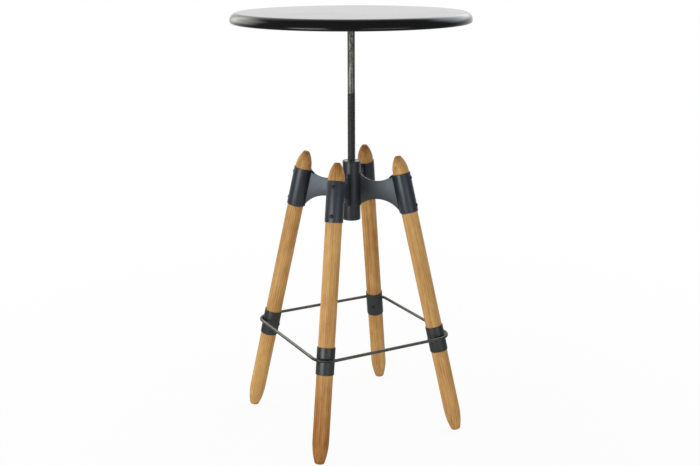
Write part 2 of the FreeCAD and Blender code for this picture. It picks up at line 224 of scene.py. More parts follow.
def end(piece):
    """Close a piece: weld its seams, turn its faces outward and shade it."""
    bpy.ops.mesh.select_all(action="SELECT")
    bpy.ops.mesh.remove_doubles(threshold=SEAM)
    bpy.ops.mesh.normals_make_consistent(inside=False)
    bpy.ops.object.mode_set(mode="OBJECT")
    shade(piece)
    return piece


def modify(piece, kind, **settings):
    """Apply one modifier to a piece."""
    select_only(piece)
    bpy.ops.object.modifier_add(type=kind)
    modifier = piece.modifiers[-1]
    for name, value in settings.items():
        setattr(modifier, name, value)
    bpy.ops.object.modifier_apply(modifier=modifier.name)


def extrude(move):
    bpy.ops.mesh.extrude_region_move(TRANSFORM_OT_translate={"value": move})


def draw_line(points):
    """Draw a chain of edges through the points, in the piece that is open."""
    bpy.ops.mesh.primitive_plane_add(size=SEED_SIZE, location=points[0])
    bpy.ops.mesh.merge(type="CENTER")
    for here, there in zip(points, points[1:]):
        extrude(Vector(there) - Vector(here))


def raise_outline(points, move):
    """Fill a closed outline and extrude it, in the piece that is open."""
    draw_line(points + points[:1])
    bpy.ops.mesh.select_all(action="SELECT")
    bpy.ops.mesh.remove_doubles(threshold=SEAM)
    bpy.ops.mesh.edge_face_add()
    extrude(move)


def turned(name, outline, steps=LATHE_STEPS):
    """A piece turned on a lathe about Z, from an outline of radius and height pairs."""
    piece = begin(name)
    draw_line([(radius, 0, height) for radius, height in outline])
    bpy.ops.mesh.select_all(action="SELECT")
    bpy.ops.mesh.spin(steps=steps, angle=FULL_TURN, center=(0, 0, 0), axis=(0, 0, 1))
    return end(piece)


def copy_of(pattern, name, place):
    """A copy of a pattern with its own mesh, set down at a place."""
    select_only(pattern)
    bpy.ops.object.duplicate()
    copy = bpy.context.active_object
    copy.name = copy.data.name = name
    copy.matrix_world = place
    bpy.ops.object.transform_apply(location=True, rotation=True, scale=True)
    return copy


def discard(*patterns):
    select_only(*patterns)
    bpy.ops.object.delete()


def joined(name, pieces):
    """One piece made of several."""
    select_only(*pieces)
    if len(pieces) > 1:
        bpy.ops.object.join()
    piece = bpy.context.active_object
    piece.name = piece.data.name = name
    return piece


def at_each_leg(pattern, place=Matrix.Identity(4)):
    """Copies of a pattern, one for each leg, from its place at a leg on +X."""
    copies = {}
    for leg, turn in LEG_TURNS.items():
        spot = Matrix.Rotation(turn, 4, "Z") @ place
        copies[leg] = copy_of(pattern, f"{pattern.name}_{leg}", spot)
    discard(pattern)
    return copies


def arc(centre, radius, start, stop, steps=CORNER_STEPS):
    """Points on an arc between two angles, both ends included."""
    x, y = centre
    turns = [start + (stop - start) * index / steps for index in range(steps + 1)]
    return [(x + radius * math.cos(turn), y + radius * math.sin(turn)) for turn in turns]


def arc_through(first, middle, last, steps=ARC_STEPS):
    """Points on the arc from the first point over the middle one to the last."""
    ax, ay = middle[0] - first[0], middle[1] - first[1]
    bx, by = last[0] - first[0], last[1] - first[1]
    cross = 2 * (ax * by - ay * bx)
    a, b = ax * ax + ay * ay, bx * bx + by * by
    centre = (first[0] + (by * a - ay * b) / cross, first[1] + (ax * b - bx * a) / cross)
    start = math.atan2(first[1] - centre[1], first[0] - centre[0])
    stop = math.atan2(last[1] - centre[1], last[0] - centre[0])
    sweep = math.remainder(stop - start, FULL_TURN)
    return arc(centre, math.dist(first, centre), start, start + sweep, steps)


def softened(corners, radius):
    """A closed outline whose corners are rounded."""
    outline = []
    for before, corner, after in zip(corners[-1:] + corners[:-1], corners, corners[1:] + corners[:1]):
        here = Vector(corner)
        back, ahead = (Vector(before) - here).normalized(), (Vector(after) - here).normalized()
        half = back.angle(ahead) / 2
        centre = here + (back + ahead).normalized() * (radius / math.sin(half))
        first, last = (here + way * (radius / math.tan(half)) - centre for way in (back, ahead))
        start = math.atan2(first.y, first.x)
        sweep = math.remainder(math.atan2(last.y, last.x) - start, FULL_TURN)
        outline += arc(centre, radius, start, start + sweep)
    return outline + outline[:1]


def band(name, bore, radius, low, high, edge):
    """A short tube on Z with softened edges."""
    return turned(name, softened([(bore, low), (radius, low), (radius, high), (bore, high)], edge))


def finish_piece(piece, body, slot, material, *nodes):
    """Give a piece its finish, the body that it moves with and the nodes that it stands for."""
    piece.data.materials.clear()
    piece.data.materials.append(material)
    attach(piece, body)
    if nodes:
        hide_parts(*nodes)


# Pieces of the stand

def bullet(flat, length):
    """Side of a leg's pointed end: radius and distance from the shoulder."""
    fall = LEG_RADIUS - flat
    sweep = (length ** 2 + fall ** 2) / (2 * fall)
    return arc((LEG_RADIUS - sweep, 0), sweep, 0, math.asin(length / sweep), TIP_STEPS)


def round_end(piece, height, reach, rounding):
    """Soften the edge of a leg's flat end."""
    bpy.ops.object.mode_set(mode="EDIT")
    bpy.ops.mesh.select_all(action="DESELECT")
    bpy.ops.object.mode_set(mode="OBJECT")
    for edge in piece.data.edges:
        corners = [piece.data.vertices[index].co for index in edge.vertices]
        edge.select = all(abs(corner.z - height) < SEAM and abs(corner.xy.length - reach) < PICK_REACH
                          for corner in corners)
    bpy.ops.object.mode_set(mode="EDIT")
    bpy.ops.mesh.select_mode(type="EDGE")
    bpy.ops.mesh.bevel(offset=rounding, segments=LEG_END_STEPS, affect="EDGES")
    bpy.ops.mesh.select_mode(type="VERT")
    bpy.ops.object.mode_set(mode="OBJECT")


def level_foot(piece):
    """Cut a leg off level with the floor."""
    select_only(piece)
    bpy.ops.object.mode_set(mode="EDIT")
    bpy.ops.mesh.select_all(action="SELECT")
    bpy.ops.mesh.bisect(plane_co=(0, 0, 0), plane_no=(0, 0, 1), clear_inner=True, use_fill=True,
                        threshold=CUT_SEAM)
    end(piece)


def leg_poles():
    """Turned poles with bullet-shaped ends, each of its own cut of wood."""
    shoulder = LEG_LENGTH - LEG_TIP_LENGTH
    foot = [(radius, LEG_FOOT_LENGTH - drop) for radius, drop in bullet(LEG_FOOT_FLAT, LEG_FOOT_LENGTH)]
    tip = [(radius, shoulder + rise) for radius, rise in bullet(LEG_TIP_FLAT, LEG_TIP_LENGTH)]
    pole = turned("leg_pole", [(0, 0)] + foot[::-1] + tip + [(0, LEG_LENGTH)], LEG_STEPS)
    round_end(pole, 0, LEG_FOOT_FLAT, LEG_FOOT_ROUND)
    round_end(pole, LEG_LENGTH, LEG_TIP_FLAT, LEG_TIP_ROUND)
    for leg, piece in at_each_leg(pole, LEAN).items():
        level_foot(piece)
        finish_piece(piece, "stand", "leg_wood", leg_wood(leg), f"leg_{leg}")


def leg_bands():
    """Sleeves at the top of the legs and ferrules at the foot ring."""
    for kind, middle, length, coat in (("sleeve", SLEEVE_UP, SLEEVE_LENGTH, gunmetal),
                                       ("ferrule", FERRULE_UP, FERRULE_LENGTH, ferrule_paint)):
        low, high = middle - length / 2, middle + length / 2
        tube = band(f"{kind}_tube", BAND_BORE, BAND_RADIUS, low, high, BAND_EDGE)
        for leg, piece in at_each_leg(tube, LEAN).items():
            finish_piece(piece, "stand", "gunmetal", coat, f"{kind}_{leg}")


def cross_cutter():
    """The four-armed driver recess of a screw head."""
    piece = begin("cross_cutter")
    near, far, high = SCREW_CROSS_WIDTH / 2, SCREW_CROSS_REACH, SCREW_HEAD_HEIGHT + SEED_SIZE
    arm = [Vector((far, -near, high)), Vector((far, near, high)), Vector((near, near, high))]
    outline = [spin @ point for spin in QUARTER_SPINS for point in arm]
    raise_outline(outline, (0, 0, -SCREW_CROSS_DEPTH - SEED_SIZE))
    bpy.ops.transform.resize(value=(SCREW_CROSS_TAPER, SCREW_CROSS_TAPER, 1))
    return end(piece)


def screw_head():
    """A domed head with a cross recess, standing on the XY plane."""
    dome = SCREW_HEAD_HEIGHT - SCREW_HEAD_RIM
    sweep = (SCREW_HEAD_RADIUS ** 2 + dome ** 2) / (2 * dome)
    start = math.acos(SCREW_HEAD_RADIUS / sweep)
    crown = arc((0, SCREW_HEAD_HEIGHT - sweep), sweep, start, QUARTER_TURN, TIP_STEPS)
    outline = [(0, -SCREW_HEAD_RIM), (SCREW_HEAD_RADIUS, -SCREW_HEAD_RIM)] + crown
    head = turned("screw_head", outline, SCREW_STEPS)
    cutter = cross_cutter()
    modify(head, "BOOLEAN", object=cutter, operation="DIFFERENCE", solver="EXACT")
    discard(cutter)
    shade(head)
    return head


def screws():
    """Two heads on the outer side of each sleeve and one on the inner side of each ferrule."""
    reach = SLEEVE_LENGTH / 2 - SLEEVE_SCREW_INSET
    heights = (SLEEVE_UP + reach, SLEEVE_UP - reach)
    low = FERRULE_UP - FERRULE_SCREW_DROP
    seats = {
        "sleeve": [Matrix.Translation((BAND_RADIUS, 0, height)) @ FACE_OUT for height in heights],
        "ferrule": [Matrix.Translation((-BAND_RADIUS, 0, low)) @ FACE_IN],
    }
    head = screw_head()
    for kind, places in seats.items():
        heads = []
        for turn in LEG_TURNS.values():
            for index, place in enumerate(places):
                twist = Matrix.Rotation(turn * SCREW_TWIST + index, 4, "Z")
                spot = Matrix.Rotation(turn, 4, "Z") @ LEAN @ place @ twist
                heads.append(copy_of(head, "head", spot))
        piece = joined(f"{kind}_screw_heads", heads)
        finish_piece(piece, "stand", "screw_steel", screw_black, f"{kind}_screws")
    discard(head)


def web_corners():
    """Hub end, waist and sleeve end of a web, upper edge first, in the plane of a leg on +X."""
    edges = []
    for side in (1, -1):
        hub_end = (HUB_RADIUS - WEB_ROOT, WEB_MIDDLE + side * WEB_HUB_HEIGHT / 2)
        waist = (HUB_RADIUS + WEB_LENGTH / 2, WEB_MIDDLE + side * WEB_WAIST_HEIGHT / 2)
        along = SLEEVE_UP + side * (SLEEVE_LENGTH / 2 - WEB_SLEEVE_INSET)
        face = LEAN @ Vector((WEB_ROOT - BAND_RADIUS, 0, along))
        edges.append((hub_end, waist, (face.x, face.z)))
    return edges


def web_plates():
    """Plates with hollowed edges between the hub and the sleeves."""
    piece = begin("web_plate")
    for hub_end, waist, sleeve_end in web_corners():
        draw_line([(across, 0, height) for across, height in arc_through(hub_end, waist, sleeve_end)])
    bpy.ops.mesh.select_all(action="SELECT")
    bpy.ops.mesh.bridge_edge_loops()
    end(piece)
    modify(piece, "SOLIDIFY", thickness=WEB_THICKNESS, offset=0)
    modify(piece, "BEVEL", width=WEB_EDGE, segments=WEB_EDGE_STEPS, limit_method="ANGLE",
           angle_limit=SMOOTH_ANGLE)
    shade(piece)
    for leg, copy in at_each_leg(piece).items():
        # The webs take the lighter paint that stands in for painted reflection.
        finish_piece(copy, "stand", "gunmetal", web_painted_reflection, f"web_{leg}")


def weld_bead(name, length, radius=WELD_RADIUS):
    """A rippled bead of weld metal that rises from the origin along Z."""
    piece = begin(name)
    bpy.ops.mesh.primitive_circle_add(vertices=WELD_SIDES, radius=radius, fill_type="NGON")
    ripples = round(length / WELD_RIPPLE)
    for index in range(2 * ripples):
        swell = WELD_SWELL if index % 2 == 0 else 1 / WELD_SWELL
        extrude((0, 0, length / ripples / 2))
        bpy.ops.transform.resize(value=(swell, swell, 1))
    return end(piece)


def horn_place():
    """Where the bead lies that covers the upper edge of a web, as it runs out on the sleeve."""
    edge = arc_through(*web_corners()[0])
    before, tip = (Vector((across, 0, height)) for across, height in edge[-2:])
    along = (before - tip).normalized()
    inward = Matrix.Rotation(-QUARTER_TURN, 3, "Y") @ along
    start = tip + along * WELD_RADIUS + inward * HORN_WELD_SINK
    return Matrix.Translation(start) @ along.to_track_quat("Z", "Y").to_matrix().to_4x4()


def web_welds():
    """Beads on both faces of each web, at the hub and at the sleeve, and one over its upper horn."""
    sleeve_bead = SLEEVE_LENGTH - 2 * WEB_SLEEVE_INSET
    hub_pattern = weld_bead("hub_bead", WEB_HUB_HEIGHT)
    sleeve_pattern = weld_bead("sleeve_bead", sleeve_bead)
    horn_pattern = weld_bead("horn_bead", HORN_WELD_LENGTH, HORN_WELD_RADIUS)
    for leg, turn in LEG_TURNS.items():
        spin = Matrix.Rotation(turn, 4, "Z")
        beads = [copy_of(horn_pattern, "bead", spin @ horn_place())]
        for side in (1, -1):
            aside = side * WEB_THICKNESS / 2
            low = (HUB_RADIUS, aside, WEB_MIDDLE - WEB_HUB_HEIGHT / 2)
            beads.append(copy_of(hub_pattern, "bead", spin @ Matrix.Translation(low)))
            low = (-BAND_RADIUS, aside, SLEEVE_UP - sleeve_bead / 2)
            beads.append(copy_of(sleeve_pattern, "bead", spin @ LEAN @ Matrix.Translation(low)))
        finish_piece(joined(f"web_welds_{leg}", beads), "stand", "gunmetal", weld_paint)
    discard(hub_pattern, sleeve_pattern, horn_pattern)


def ring_welds():
    """Short beads above and below the foot ring where it meets each ferrule."""
    corner = math.sqrt(2) * RING_BEND_AT + RING_BEND_RADIUS
    pattern = weld_bead("ring_bead", RING_WELD_LENGTH)
    lay_down = Matrix.Rotation(-QUARTER_TURN, 4, "X")
    for leg, turn in LEG_TURNS.items():
        beads = []
        for side in (1, -1):
            rise = side * RING_WELD_RISE
            out = corner - RING_BAR_RADIUS - rise * math.tan(LEG_SPLAY)
            spot = (out, -RING_WELD_LENGTH / 2, RING_HEIGHT + rise)
            place = Matrix.Rotation(turn, 4, "Z") @ Matrix.Translation(spot) @ lay_down
            beads.append(copy_of(pattern, "bead", place))
        finish_piece(joined(f"ring_welds_{leg}", beads), "stand", "gunmetal", gunmetal)
    discard(pattern)


def foot_ring():
    """One bar bent round the legs, outside the ferrules."""
    piece = begin("foot_ring_bar")
    bpy.ops.mesh.primitive_circle_add(vertices=BAR_SIDES, radius=RING_BAR_RADIUS,
                                      location=(RING_SIDE, -RING_BEND_AT, RING_HEIGHT),
                                      rotation=(QUARTER_TURN, 0, 0))
    for spin in QUARTER_SPINS:
        extrude(spin @ Vector((0, 2 * RING_BEND_AT, 0)))
        bpy.ops.mesh.spin(steps=BEND_STEPS, angle=-QUARTER_TURN, axis=(0, 0, 1),
                          center=spin @ Vector((RING_BEND_AT, RING_BEND_AT, RING_HEIGHT)))
    finish_piece(end(piece), "stand", "ring_steel", ring_steel, "foot_ring")


def hub():
    """Upright tube and the nut in its upper end."""
    tube = band("hub_body", HUB_BORE, HUB_RADIUS, hub_low.z, hub_high.z, HUB_EDGE)
    # The hub's darker paint is painted shade.
    finish_piece(tube, "stand", "gunmetal", hub_painted_shade, "hub_tube")
    low, high, radius, bore = nut_low.z, nut_high.z, nut_high.x, THREAD_RADIUS + NUT_PLAY
    outline = [(bore + NUT_CHAMFER, low), (radius, low), (radius, high - NUT_CHAMFER / 2),
               (radius - NUT_CHAMFER / 2, high), (bore + NUT_CHAMFER, high), (bore, high - NUT_CHAMFER),
               (bore, low + NUT_CHAMFER), (bore + NUT_CHAMFER, low)]
    finish_piece(turned("lift_nut", outline), "stand", "nut_steel", fixing_steel, "spindle_nut")


# Pieces that rise and turn with the top

def thread(name, crest, depth, pitch, low, high, steps):
    """A right-hand thread on Z, cut square at both ends."""
    piece = begin(name)
    flank, flat = pitch * THREAD_FLANK_SHARE, pitch * THREAD_CREST_SHARE
    root, start = crest - depth, low - pitch
    draw_line([(crest, 0, start), (crest, 0, start + flat), (root, 0, start + flat + flank),
               (root, 0, start + pitch - flank), (crest, 0, start + pitch)])
    bpy.ops.object.mode_set(mode="OBJECT")
    turns = math.ceil((high - low) / pitch) + 1
    modify(piece, "SCREW", axis="Z", angle=FULL_TURN, screw_offset=pitch, iterations=turns, steps=steps,
           render_steps=steps, use_merge_vertices=True, merge_threshold=SEAM)
    bpy.ops.object.mode_set(mode="EDIT")
    for height, below in ((low, True), (high, False)):
        bpy.ops.mesh.select_all(action="SELECT")
        bpy.ops.mesh.bisect(plane_co=(0, 0, height), plane_no=(0, 0, 1), clear_inner=below,
                            clear_outer=not below, use_fill=True)
    return end(piece)


def spindle():
    """Threaded lower part and the plain shank above it."""
    screw = thread("spindle_thread", THREAD_RADIUS, THREAD_DEPTH, THREAD_PITCH,
                   spindle_low.z, THREAD_TOP, THREAD_STEPS)
    finish_piece(screw, "top", "spindle_steel", blackened_thread, "spindle")
    low, high = THREAD_TOP - SHANK_EDGE, spindle_high.z
    outline = [(0, low), (SHANK_RADIUS - SHANK_EDGE, low), (SHANK_RADIUS, low + SHANK_EDGE),
               (SHANK_RADIUS, high), (0, high)]
    finish_piece(turned("spindle_shank", outline), "top", "spindle_steel", bare_shank)


def table_top():
    """Glossy pan: flat deck, round shoulder, skirt and rolled-in lower edge."""
    shoulder = (TOP_RADIUS - RIM_SHOULDER, TABLE_HEIGHT - RIM_SHOULDER)
    roll = (TOP_RADIUS - RIM_ROLL, top_low.z + RIM_ROLL)
    lip = roll[0] - RIM_LIP
    under = TABLE_HEIGHT - TOP_SHEET
    outside = [(0, TABLE_HEIGHT), (shoulder[0] - DECK_MARGIN, TABLE_HEIGHT)]
    outside += arc(shoulder, RIM_SHOULDER, QUARTER_TURN, 0, SHOULDER_STEPS)
    outside += arc(roll, RIM_ROLL, 0, -QUARTER_TURN, ROLL_STEPS)
    middle = (lip, top_low.z + TOP_SHEET / 2)
    edge = arc(middle, TOP_SHEET / 2, -QUARTER_TURN, -3 * QUARTER_TURN, ROLL_STEPS)
    inside = arc(roll, RIM_ROLL - TOP_SHEET, -QUARTER_TURN, 0, ROLL_STEPS)
    inside += arc(shoulder, RIM_SHOULDER - TOP_SHEET, 0, QUARTER_TURN, SHOULDER_STEPS)
    inside += [(shoulder[0] - DECK_MARGIN, under), (0, under)]
    pan = turned("enamel_top", outside + edge + inside, DECK_STEPS)
    finish_piece(pan, "top", "black_enamel", black_enamel, "table_top")


def collar():
    """Turned collar under the bracket and the pin across it."""
    low, high, bore = collar_low.z, collar_high.z, SHANK_RADIUS
    outline = [(bore, low), (COLLAR_RADIUS - COLLAR_CHAMFER, low),
               (COLLAR_RADIUS, low + COLLAR_CHAMFER), (COLLAR_RADIUS, high), (bore, high), (bore, low)]
    finish_piece(turned("spindle_collar", outline), "top", "gunmetal", gunmetal, "spindle_socket")
    half, flat = pin_high.x, PIN_RADIUS - PIN_EDGE
    outline = [(0, -half), (flat, -half), (PIN_RADIUS, PIN_EDGE - half),
               (PIN_RADIUS, half - PIN_EDGE), (flat, half), (0, half)]
    pin = turned("collar_pin_pattern", outline, SCREW_STEPS)
    place = Matrix.Translation((0, 0, (pin_low.z + pin_high.z) / 2)) @ FACE_OUT
    finish_piece(copy_of(pin, "collar_pin", place), "top", "nut_steel", fixing_steel, "socket_pin")
    discard(pin)


def spider():
    """Four-armed flat bracket with round ends."""
    half, low = SPIDER_WIDTH / 2, spider_low.z
    tip = arc((spider_high.x - half, 0), half, -QUARTER_TURN, QUARTER_TURN, ARC_STEPS)
    arm = [Vector((across, aside, low)) for across, aside in tip + [(half, half)]]
    piece = begin("top_bracket")
    outline = [spin @ point for spin in QUARTER_SPINS for point in arm]
    raise_outline(outline, (0, 0, spider_high.z - low))
    end(piece)
    modify(piece, "BEVEL", width=SPIDER_EDGE, segments=SPIDER_EDGE_STEPS, limit_method="ANGLE",
           angle_limit=SPIDER_EDGE_ANGLE)
    shade(piece)
    finish_piece(piece, "top", "gunmetal", gunmetal, "top_spider")


def stud_nut():
    """A hexagon nut with chamfered corners, standing on the XY plane."""
    height = bolt_nut_high.z - bolt_nut_low.z
    corner = NUT_FLATS / math.sqrt(3)
    across = NUT_FLATS / 2
    outline = [(STUD_RADIUS, 0), (across, 0), (corner, NUT_CORNER), (corner, height - NUT_CORNER),
               (across, height), (STUD_RADIUS, height), (STUD_RADIUS, 0)]
    nut = turned("hexagon_nut", outline, SCREW_STEPS)
    select_only(nut)
    bpy.ops.object.mode_set(mode="EDIT")
    for index in range(NUT_SIDES):
        turn = FULL_TURN * index / NUT_SIDES
        way = Vector((math.cos(turn), math.sin(turn), 0))
        bpy.ops.mesh.select_all(action="SELECT")
        bpy.ops.mesh.bisect(plane_co=way * across, plane_no=way, clear_outer=True, use_fill=True)
    return end(nut)


def studs():
    """Threaded studs under the deck and the nuts that hold the bracket."""
    nut = stud_nut()
    stud = thread("stud_pattern", STUD_RADIUS, STUD_DEPTH, STUD_PITCH,
                  stud_low.z, spider_low.z, STUD_STEPS)
    nuts, rods = [], []
    for index, spin in enumerate(QUARTER_SPINS):
        twist = Matrix.Rotation(NUT_TWIST * index, 4, "Z")
        seat = Matrix.Translation((STUD_REACH, 0, bolt_nut_low.z)) @ twist
        nuts.append(copy_of(nut, "nut", spin @ seat))
        rods.append(copy_of(stud, "rod", spin @ Matrix.Translation((STUD_REACH, 0, 0))))
    discard(nut, stud)
    finish_piece(joined("bracket_nuts", nuts), "top", "nut_steel", fixing_steel, "stud_nuts")
    finish_piece(joined("bracket_studs", rods), "top", "nut_steel", fixing_steel, "weld_studs")


# Finishes

# Sockets of the Mix node that take and give colours
MIX_FIRST, MIX_SECOND, MIX_RESULT = 6, 7, 2


class Wire:
    """An output in a node tree. Sums, products and powers of wires add Math nodes."""

    def __init__(self, tree, socket=None):
        self.tree, self.socket = tree, socket

    def node(self, kind, settings=None, sockets=None, out=0):
        """Add a node, set it up, feed its sockets and hand back one of its outputs."""
        made = self.tree.nodes.new(kind)
        for name, value in (settings or {}).items():
            setattr(made, name, value)
        for name, value in (sockets or {}).items():
            if isinstance(value, Wire):
                self.tree.links.new(value.socket, made.inputs[name])
            else:
                made.inputs[name].default_value = value
        return Wire(self.tree, made.outputs[out] if made.outputs else None)

    def other(self, name):
        """Another output of the node that this wire comes from."""
        return Wire(self.tree, self.socket.node.outputs[name])

    def math(self, operation, *others):
        """Work one Math operation on this wire and the others."""
        return self.node("ShaderNodeMath", {"operation": operation}, dict(enumerate((self, *others))))

    def __add__(self, value):
        return self.math("ADD", value)

    def __radd__(self, value):
        return self.math("ADD", value)

    def __sub__(self, value):
        return self.math("SUBTRACT", value)

    def __rsub__(self, value):
        return self.math("MULTIPLY_ADD", -1.0, value)

    def __mul__(self, value):
        return self.math("MULTIPLY", value)

    def __rmul__(self, value):
        return self.math("MULTIPLY", value)

    def __truediv__(self, value):
        return self.math("DIVIDE", value)

    def __pow__(self, value):
        return self.math("POWER", value)

    def step(self, low, high):
        """Smooth step from 0 at low to 1 at high."""
        return self.node("ShaderNodeMapRange", {"interpolation_type": "SMOOTHSTEP"},
                         {"Value": self, "From Min": low, "From Max": high})

    def mix(self, first, second):
        """Colour between two, with this wire as the share of the second."""
        return self.node("ShaderNodeMix", {"data_type": "RGBA"},
                         {0: self, MIX_FIRST: opaque(first), MIX_SECOND: opaque(second)}, MIX_RESULT)

    def scaled(self, cells, shift=(0, 0, 0)):
        """Coordinates for a pattern along Z, with so many cells to the metre across and along."""
        across, along = cells
        return self.node("ShaderNodeMapping", None,
                         {"Vector": self, "Location": shift, "Scale": (across, across, along)})

    def noise(self, scale=1.0, detail=2.0, roughness=0.5):
        return self.node("ShaderNodeTexNoise", None,
                         {"Vector": self, "Scale": scale, "Detail": detail, "Roughness": roughness})

    def part(self, axis):
        """One of the three coordinates."""
        return self.node("ShaderNodeSeparateXYZ", None, {0: self}, axis)

    def bump(self, strength, distance):
        return self.node("ShaderNodeBump", None,
                         {"Height": self, "Strength": strength, "Distance": distance})


def opaque(colour):
    return colour if isinstance(colour, Wire) else (*colour, 1)


def new_material(name):
    """A material with an empty node tree, and the wire of its object coordinates."""
    material = bpy.data.materials.new(name)
    material.use_nodes = True
    material.node_tree.nodes.clear()
    return material, Wire(material.node_tree).node("ShaderNodeTexCoord", out="Object")


def surface(place, sockets):
    """Close a material with its surface shader."""
    shader = place.node("ShaderNodeBsdfPrincipled", None, sockets)
    place.node("ShaderNodeOutputMaterial", None, {"Surface": shader})


def reach_of(across, aside):
    """Distance from a line, from the two offsets across it."""
    return (across * across + aside * aside) ** 0.5


NOISE_MIDDLE = 0.5

# Leg wood. The cells of its patterns are counted to the metre, across the grain and along it.
WOOD_LIGHT = (0.694, 0.414, 0.142)
WOOD_DARK = (0.305, 0.103, 0.004)
WOOD_PORE = (0.215, 0.085, 0.016)
WOOD_TONE = 0.20
WOOD_ROUGHNESS = 0.42
WOOD_SPECULAR = 0.42
GROWTH_RING = 0.0052
GROWTH_SWAY = 0.014
LATEWOOD_RISE = (0.30, 0.90)
LATEWOOD_FALL = (0.92, 1.0)
PORE_SPAN = (0.60, 0.70)
CLOUD_CELLS = (22, 5)
FIGURE_CELLS = (75, 30)
STREAK_CELLS = (230, 3)
FIBRE_CELLS = (1300, 16)
PORE_CELLS = (1500, 34)

# What each pattern adds to the wood's tone, its roughness and its relief
LATEWOOD_TONE = 0.18
STREAK_TONE = 0.85
FIBRE_TONE = 0.28
FIGURE_TONE = 0.55
PORE_COVER = 0.35
FIBRE_DULLING = 0.10
PORE_DULLING = 0.12
FIBRE_RELIEF = 0.5
STREAK_RELIEF = 0.5
PORE_RELIEF = 0.9

# Heights along a leg between which its ends change tone, the tip partly by painted shade, and the end
# grain of its tip and foot
TIP_TONE_AND_SHADE_SPAN = (LEG_LENGTH - 0.060, LEG_LENGTH - 0.010)
FOOT_TONE_SPAN = (LEG_LENGTH * 0.08, LEG_LENGTH * 0.45)
TIP_GRAIN_SPAN = (LEG_LENGTH - 0.016, LEG_LENGTH)
FOOT_GRAIN_SPAN = (0.0, 0.014)
TIP_GRAIN_TONE = 0.33
FOOT_GRAIN_TONE = 0.18

# Heart of the tree beside each leg, then how much browner the leg is: all over, at its tip (partly
# painted shade on the upward-facing tip), at its foot
WOOD_CUTS = {
    "back_right": ((0.034, 0.052), 0.17, 0.40, -0.02),
    "back_left": ((-0.061, 0.018), 0.16, 0.10, -0.12),
    "front_left": ((0.047, -0.055), 0.11, 0.34, 0.48),
    "front_right": ((-0.030, -0.066), 0.00, 0.26, 0.06),
}


def leg_wood(leg):
    """Satin lacquered hardwood whose grain follows the leg."""
    material, place = new_material(f"leg wood {leg.replace('_', ' ')}")
    turn = LEG_TURNS[leg]
    (heart_x, heart_y), leg_tone, tip_tone_and_shade, foot_tone = WOOD_CUTS[leg]
    foot = Matrix.Rotation(turn, 3, "Z") @ Vector((FOOT_REACH, 0, 0))
    grain = place.node("ShaderNodeMapping", {"vector_type": "TEXTURE"},
                       {"Vector": place, "Location": foot, "Rotation": (0, -LEG_SPLAY, turn)})
    seed = (turn, 2 * turn, 3 * turn)
    sway_x = grain.scaled(CLOUD_CELLS, seed).noise()
    sway_y = grain.scaled(CLOUD_CELLS, seed[::-1]).noise()
    across = grain.part(0) - heart_x + sway_x * GROWTH_SWAY
    aside = grain.part(1) - heart_y + sway_y * GROWTH_SWAY
    cycle = (reach_of(across, aside) / GROWTH_RING).math("FRACT")
    latewood = cycle.step(*LATEWOOD_RISE) * (1 - cycle.step(*LATEWOOD_FALL))
    cloud = grain.scaled(CLOUD_CELLS, seed).noise(detail=3.0)
    figure = grain.scaled(FIGURE_CELLS, seed).noise()
    streak = grain.scaled(STREAK_CELLS, seed).noise(detail=3.0, roughness=0.6)
    fibre = grain.scaled(FIBRE_CELLS, seed).noise(roughness=0.55)
    pores = grain.scaled(PORE_CELLS, seed).noise(detail=1.0).step(*PORE_SPAN)
    height = grain.part(2)
    # Browner tip: partly darker wood, partly painted shade on the upward-facing tip.
    ends = (height.step(*TIP_TONE_AND_SHADE_SPAN) * tip_tone_and_shade + (1 - height.step(*FOOT_TONE_SPAN)) * foot_tone
            + height.step(*TIP_GRAIN_SPAN) * TIP_GRAIN_TONE
            + (1 - height.step(*FOOT_GRAIN_SPAN)) * FOOT_GRAIN_TONE)
    brown = (WOOD_TONE + leg_tone + latewood * LATEWOOD_TONE + (streak - NOISE_MIDDLE) * STREAK_TONE
             + (fibre - NOISE_MIDDLE) * FIBRE_TONE + (cloud - NOISE_MIDDLE)
             + (figure - NOISE_MIDDLE) * FIGURE_TONE + ends)
    colour = brown.node("ShaderNodeClamp", None, {0: brown}).mix(WOOD_LIGHT, WOOD_DARK)
    colour = (pores * PORE_COVER).mix(colour, WOOD_PORE)
    roughness = WOOD_ROUGHNESS + fibre * FIBRE_DULLING + pores * PORE_DULLING
    relief = fibre * FIBRE_RELIEF + streak * STREAK_RELIEF - pores * PORE_RELIEF
    surface(place, {"Base Color": colour, "Roughness": roughness, "Specular IOR Level": WOOD_SPECULAR,
                    "Normal": relief.bump(strength=0.25, distance=0.0004)})
    return material


PAINT_METAL = 0.85
PAINT_ROUGHNESS = 0.42
PAINT_SPECKS = 900.0
PAINT_CLOUD_TONE = 0.7
PAINT_SPECK_TONE = 0.5
PAINT_TONE_SHIFT = 0.1
PAINT_CLOUD_DULLING = 0.16
PAINT_SPECK_DULLING = 0.10


def paint(name, dark, light, roughness=PAINT_ROUGHNESS, specks=PAINT_SPECKS):
    """Satin paint on steel: slightly mottled, with a fine orange-peel skin."""
    material, place = new_material(name)
    cloud = place.noise(scale=38.0, detail=4.0, roughness=0.6)
    speck = place.noise(scale=specks)
    tone = cloud * PAINT_CLOUD_TONE + speck * PAINT_SPECK_TONE - PAINT_TONE_SHIFT
    gloss = (roughness + (cloud - NOISE_MIDDLE) * PAINT_CLOUD_DULLING
             + (speck - NOISE_MIDDLE) * PAINT_SPECK_DULLING)
    surface(place, {"Base Color": tone.mix(dark, light), "Metallic": PAINT_METAL, "Roughness": gloss,
                    "Normal": speck.bump(strength=0.10, distance=0.0003)})
    return material


ENAMEL_DEEP = (0.0045, 0.0048, 0.0052)
ENAMEL_DUSTY = (0.0100, 0.0100, 0.0104)
ENAMEL_ROUGHNESS = 0.09
WIPE_TONE = 0.6
WIPE_DULLING = 0.03
WIPE_SPAN = (0.35, 0.75)
DUST_TONE = 0.5
DUST_TONE_SPAN = (0.66, 0.78)
DUST_DULLING = 0.04
DUST_DULLING_SPAN = (0.62, 0.80)


